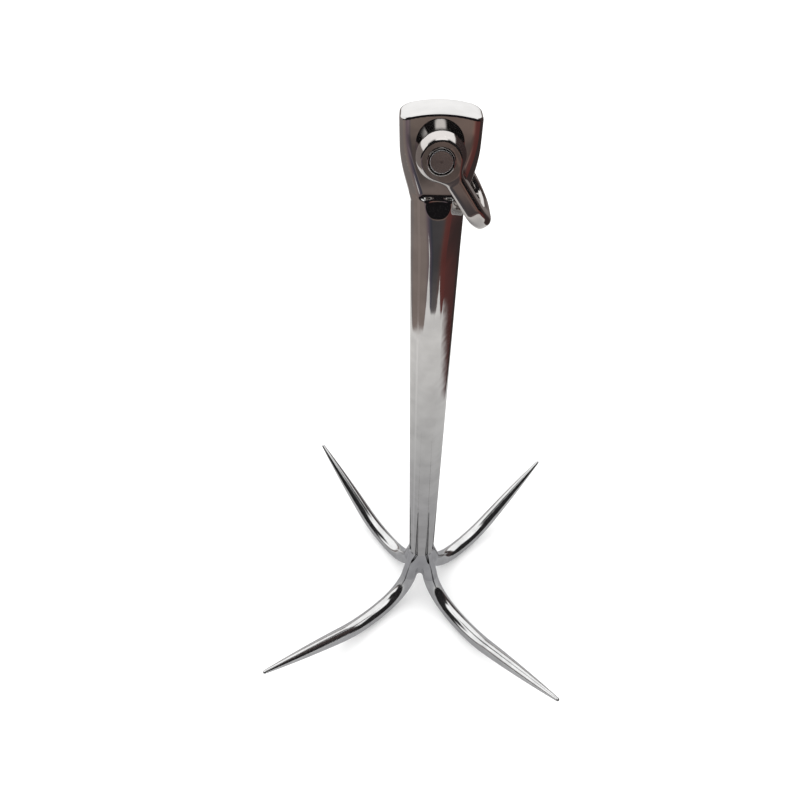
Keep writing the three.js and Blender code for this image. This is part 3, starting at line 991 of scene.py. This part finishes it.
def lathe_rings(tree, coordinates, end, normal, colour, spread):
    """Fine rings, a dark centre mark, and a painted highlight on a rougher rim, on a turned end,
    about the piece's Y axis."""
    parts = add_node(tree, "ShaderNodeSeparateXYZ", {"Vector": coordinates}).outputs
    squares = (product(tree, parts[0], parts[0]), product(tree, parts[2], parts[2]))
    radius = calculate(tree, "SQRT", calculate(tree, "ADD", *squares))
    wave = calculate(tree, "SINE", product(tree, radius, 2 * math.pi / RING_PITCH))
    near = end + END_DEPTH
    on_end = smooth_between(tree, parts[1], near + END_SOFTNESS, near)
    normal = bump(tree, product(tree, wave, on_end), RING_DEPTH, normal)
    centre = product(tree, smooth_between(tree, radius, *CENTRE_RADII), on_end)
    colour = mix_colours(tree, product(tree, centre, CENTRE_SHARE), colour, CENTRE_COLOUR)
    # A painted highlight on the rim of the turned end, which is also made rougher.
    off_rim = calculate(tree, "ABSOLUTE", calculate(tree, "SUBTRACT", radius, RIM_RADIUS))
    rim = smooth_between(tree, off_rim, RIM_HALF_WIDTH, RIM_HALF_WIDTH * RIM_CORE)
    rim = product(tree, rim, on_end)
    colour = mix_colours(tree, product(tree, rim, RIM_HIGHLIGHT_SHARE), colour, grey(RIM_HIGHLIGHT_GREY))
    spread = calculate(tree, "MULTIPLY_ADD", rim, RIM_ROUGHNESS, spread)
    return normal, colour, spread


# ---- studio ---------------------------------------------------------------------------------

# Directions are unit vectors: across is positive on the right, ahead away from the camera, and
# up towards the ceiling. A pair of them is where something starts and where it is complete.
ROOM_FACING = (0.8, 0.3)
ROOM_END = (-0.29, -0.22)
OVERHEAD_LIGHT = (0.89, 0.95)
RIGHT_SIDE = (0.3, 0.6)
SCREEN_EDGE = (-0.02, 0.07)
FAR_LEFT = (-0.5, -0.75)
LOW = (0.62, 0.5)
OFF_THE_FLOOR = (0.02, 0.1)
LOW_LEFT_RETREAT = 0.38
FRONT_EDGE = (0.16, 0.0)

STUDIO_WHITE = grey(1.35)
SCREEN_WHITE = grey(1.22)
BLACK = (0.010, 0.009, 0.010)
FLOOR_PAINT = (0.93, 0.93, 0.93, 1)

# The dark room in front, from its left to its right.
ROOM_COLOURS = (
    (0.0, (0.27, 0.22, 0.20)),
    (0.15, (0.16, 0.12, 0.14)),
    (0.37, (0.070, 0.060, 0.066)),
    (0.5, (0.090, 0.074, 0.068)),
    (0.7, (0.115, 0.072, 0.062)),
    (0.85, (0.14, 0.052, 0.046)),
    (1.0, (0.13, 0.042, 0.038)),
)

# Level stripes across the middle of the room, from its bottom to its top.
ROOM_BOTTOM = -0.62
ROOM_TOP = -0.3
ROOM_STRIPES = (
    (0.0, grey(0.20, -0.1)),
    (0.25, grey(0.11, -0.15)),
    (0.47, grey(0.12, -0.15)),
    (0.53, grey(0.26)),
    (0.60, grey(0.26)),
    (0.66, grey(0.14)),
    (0.79, grey(0.14)),
    (0.86, grey(0.26, 0.05)),
)
PLAIN_STRIPE = 0.12

# Low walls below the white screens, on the left and on the right.
LEFT_SKIRTING = (0.24, 0.21, 0.20)
RIGHT_SKIRTING = (0.05, 0.035, 0.034)
LEFT_SILL = 0.16
SILL_RISE = 0.44

# The white sheet as reflections see it, from its middle outwards: darker near the anchor, with a
# painted shadow standing for the anchor's own shadow on it.
SHEET_SHADOWED_COLOURS = (
    (0.0, (0.36, 0.36, 0.37)),
    (0.2, (0.47, 0.47, 0.48)),
    (0.4, (0.60, 0.60, 0.60)),
    (0.75, (0.82, 0.81, 0.80)),
)


def front_seen(tree, across, up):
    """The dark room in front, the black of the camera side above it, and light overhead."""
    over_one = 1.0001    # keeps the level part above 0 straight up and straight down
    up_squared = product(tree, up, up)
    level = calculate(tree, "SQRT", calculate(tree, "SUBTRACT", over_one, up_squared))
    bearing = calculate(tree, "DIVIDE", across, level)
    room = colour_ramp(tree, calculate(tree, "MULTIPLY_ADD", bearing, 0.5, 0.5), ROOM_COLOURS)
    tall = ROOM_TOP - ROOM_BOTTOM
    height = calculate(tree, "MULTIPLY_ADD", up, 1 / tall, -ROOM_BOTTOM / tall)
    stripes = colour_ramp(tree, height, ROOM_STRIPES)
    facing = smooth_between(tree, calculate(tree, "ABSOLUTE", bearing), *ROOM_FACING)
    lift = mix_colours(tree, facing, grey(PLAIN_STRIPE), stripes)
    node = add_node(tree, "ShaderNodeVectorMath", {0: room, 1: lift}, operation="MULTIPLY")
    striped = scaled(tree, node.outputs[0], 1 / PLAIN_STRIPE)
    above_room = smooth_between(tree, up, *ROOM_END)
    low_front = mix_colours(tree, above_room, striped, BLACK)
    overhead = smooth_between(tree, up, *OVERHEAD_LIGHT)
    return mix_colours(tree, overhead, low_front, STUDIO_WHITE)


def back_seen(tree, across, up):
    """White screens behind, that start at a sill which is higher on the right."""
    right = smooth_between(tree, across, *RIGHT_SIDE)
    sill = calculate(tree, "MULTIPLY_ADD", right, SILL_RISE, LEFT_SILL)
    over_sill = calculate(tree, "SUBTRACT", up, sill)
    screens = smooth_between(tree, over_sill, *SCREEN_EDGE)
    skirting = mix_colours(tree, right, LEFT_SKIRTING, RIGHT_SKIRTING)
    return mix_colours(tree, screens, skirting, SCREEN_WHITE)


def front_share(tree, across, ahead, up):
    """1 towards the front and 0 towards the back. On the low left the front reaches less far."""
    far_left = smooth_between(tree, across, *FAR_LEFT)
    low_left = product(tree, far_left, smooth_between(tree, up, *LOW))
    low_left = product(tree, low_left, smooth_between(tree, up, *OFF_THE_FLOOR))
    shifted = calculate(tree, "MULTIPLY_ADD", low_left, LOW_LEFT_RETREAT, ahead)
    return smooth_between(tree, shifted, *FRONT_EDGE)


def surroundings():
    """What polished metal sees of the studio in a direction."""
    tree = bpy.data.node_groups.new("surroundings", "ShaderNodeTree")
    interface = tree.interface
    interface.new_socket("Direction", in_out="INPUT", socket_type="NodeSocketVector")
    interface.new_socket("Color", in_out="OUTPUT", socket_type="NodeSocketColor")
    way = add_node(tree, "NodeGroupInput").outputs["Direction"]
    across, ahead, up = add_node(tree, "ShaderNodeSeparateXYZ", {"Vector": way}).outputs
    front = front_seen(tree, across, up)
    back = back_seen(tree, across, up)
    seen = mix_colours(tree, front_share(tree, across, ahead, up), back, front)
    output = add_node(tree, "NodeGroupOutput")
    tree.links.new(seen, output.inputs["Color"])
    return tree


def surroundings_colour(tree, group, direction):
    node = add_node(tree, "ShaderNodeGroup", node_tree=group)
    tree.links.new(direction, node.inputs["Direction"])
    return node.outputs["Color"]


def make_world(group):
    """Even white light on the floor, a plain pale backdrop, and the studio in reflections."""
    world = bpy.data.worlds.new("studio")
    tree = new_tree(world)
    direction = add_node(tree, "ShaderNodeTexCoord").outputs["Generated"]
    reflected = surroundings_colour(tree, group, direction)
    glossy = add_node(tree, "ShaderNodeLightPath").outputs["Is Glossy Ray"]
    colour = mix_colours(tree, glossy, STUDIO_WHITE, reflected)
    background = add_node(tree, "ShaderNodeBackground", {"Color": colour, "Strength": 1})
    output = add_node(tree, "ShaderNodeOutputWorld")
    tree.links.new(background.outputs[0], output.inputs["Surface"])
    bpy.context.scene.world = world


def sheet_share(tree, place):
    """1 on the white sheet that the anchor stands on and 0 off it, with soft borders. Each border
    is given by the bearing that it faces and its distance. A painted shadow takes the sheet's far
    right corner out, so that reflections see the dark studio there."""
    soft = SHEET_SOFTNESS * MM
    share = 1
    for bearing, distance in SHEET_BORDERS:
        angle = math.radians(bearing)
        inputs = {0: place, 1: (math.cos(angle), math.sin(angle), 0.0)}
        node = add_node(tree, "ShaderNodeVectorMath", inputs, operation="DOT_PRODUCT")
        edge = distance * MM
        inside = smooth_between(tree, node.outputs["Value"], edge + soft, edge - soft)
        share = product(tree, share, inside)
    parts = add_node(tree, "ShaderNodeSeparateXYZ", {"Vector": place}).outputs
    right, behind = (corner * MM for corner in SHADOW_CORNER)
    on_right = smooth_between(tree, parts[0], right - soft, right + soft)
    at_back = smooth_between(tree, parts[1], behind - soft, behind + soft)
    # Painted shadow on the sheet's far right corner.
    dark = product(tree, on_right, at_back)
    return product(tree, share, calculate(tree, "SUBTRACT", 1, dark))


def floor_material(group):
    """A plain pale floor. In reflections it glows instead: a white sheet, with painted shadow
    near the anchor and on its far right corner, that ends in the dark studio.
    """
    material = bpy.data.materials.new("pale_floor")
    tree = new_tree(material)
    geometry = add_node(tree, "ShaderNodeNewGeometry").outputs
    studio = surroundings_colour(tree, group, scaled(tree, geometry["Incoming"], -1))
    flat = add_node(tree, "ShaderNodeVectorMath", {0: geometry["Position"]}, operation="LENGTH")
    # Painted shadow: the sheet in reflections is darker the nearer it is to the anchor.
    sheet = colour_ramp(tree, product(tree, flat.outputs["Value"], 2), SHEET_SHADOWED_COLOURS)
    share = sheet_share(tree, geometry["Position"])
    seen = mix_colours(tree, share, studio, sheet)
    mirrored = add_node(tree, "ShaderNodeEmission", {"Color": seen, "Strength": 1})
    paint = add_node(tree, "ShaderNodeBsdfDiffuse", {"Color": FLOOR_PAINT})
    glossy = add_node(tree, "ShaderNodeLightPath").outputs["Is Glossy Ray"]
    inputs = {0: glossy, 1: paint.outputs[0], 2: mirrored.outputs[0]}
    surface = add_node(tree, "ShaderNodeMixShader", inputs)
    output = add_node(tree, "ShaderNodeOutputMaterial")
    tree.links.new(surface.outputs[0], output.inputs[0])
    return material


def make_floor(group):
    corners = np.array([[-1, -1, 0], [1, -1, 0], [1, 1, 0], [-1, 1, 0]]) * float(FLOOR_HALF)
    floor = new_piece("floor", corners, [(0, 1, 2, 3)])
    floor.data.materials.append(floor_material(group))


def make_softbox():
    """One wide soft light overhead for the floor. The metal sees the studio instead of it."""
    light = bpy.data.lights.new("softbox", "AREA")
    light.shape = "DISK"
    light.size = SOFTBOX_SIZE
    light.energy = SOFTBOX_POWER
    lamp = bpy.data.objects.new("softbox", light)
    lamp.location = SOFTBOX_PLACE
    lamp.rotation_euler = (-lamp.location).to_track_quat("-Z", "Y").to_euler()
    lamp.visible_glossy = False
    bpy.context.scene.collection.objects.link(lamp)


def make_camera():
    """Looks down at the anchor from above its front, at the photograph's angle."""
    yaw, pitch, roll = (math.radians(a) for a in (CAMERA_YAW, CAMERA_PITCH, CAMERA_ROLL))
    level = math.cos(pitch)
    forward = Vector((math.sin(yaw) * level, math.cos(yaw) * level, -math.sin(pitch)))
    right = Vector((math.cos(yaw), -math.sin(yaw), 0))
    down = forward.cross(right)
    rolled_right = right * math.cos(roll) + down * math.sin(roll)
    rolled_down = down * math.cos(roll) - right * math.sin(roll)
    data = bpy.data.cameras.new("camera")
    data.lens = CAMERA_LENS
    data.shift_x = CAMERA_SHIFT_X
    data.clip_start = CAMERA_NEAR
    camera = bpy.data.objects.new("camera", data)
    turn = Matrix((rolled_right, -rolled_down, -forward)).transposed().to_4x4()
    camera.matrix_world = Matrix.Translation(Vector(CAMERA_PLACE) * MM) @ turn
    bpy.context.scene.collection.objects.link(camera)
    bpy.context.scene.camera = camera


# ---- assembly -------------------------------------------------------------------------------

def fit(piece, node, body, material):
    """Puts a visual piece in the place of its CAD node, on the node's body."""
    piece.data.materials.append(material)
    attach(piece, body)
    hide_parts(node)


# A small grain number makes the scratches long in that direction.
shank_steel = steel("shank_steel", (0.68, 0.67, 0.66), roughness=0.05, grain=(900, 900, 14))
crown_steel = steel(
    "crown_steel", (0.62, 0.62, 0.63), roughness=0.18, grain=(500, 500, 120), wave=0.6
)
fluke_steel = steel(
    "fluke_steel", (0.74, 0.74, 0.74), roughness=0.14, grain=(420, 420, 420), wave=0.1
)
shackle_steel = steel(
    "shackle_steel", (0.64, 0.61, 0.59), roughness=0.10, grain=(700, 160, 160), wave=0.4
)
pin_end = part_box("shackle_pin")[0].y
pin_steel = steel(
    "pin_steel", (0.55, 0.52, 0.52), roughness=0.16, grain=(600, 600, 600), turned_end=pin_end
)

fit(make_shank(), "shank", "anchor_body", shank_steel)
fit(make_crown(), "crown", "anchor_body", crown_steel)
for fluke_name, fluke_azimuth in FLUKES.items():
    rod = make_fluke(fluke_name, fluke_azimuth)
    fit(rod, fluke_name, "anchor_body", fluke_steel)
fit(make_bow(), "shackle_bow", "shackle", shackle_steel)
fit(make_pin(), "shackle_pin", "pin", pin_steel)

studio_group = surroundings()
make_world(studio_group)
make_floor(studio_group)
make_softbox()
make_camera()
bpy.context.scene.view_settings.view_transform = "Standard"
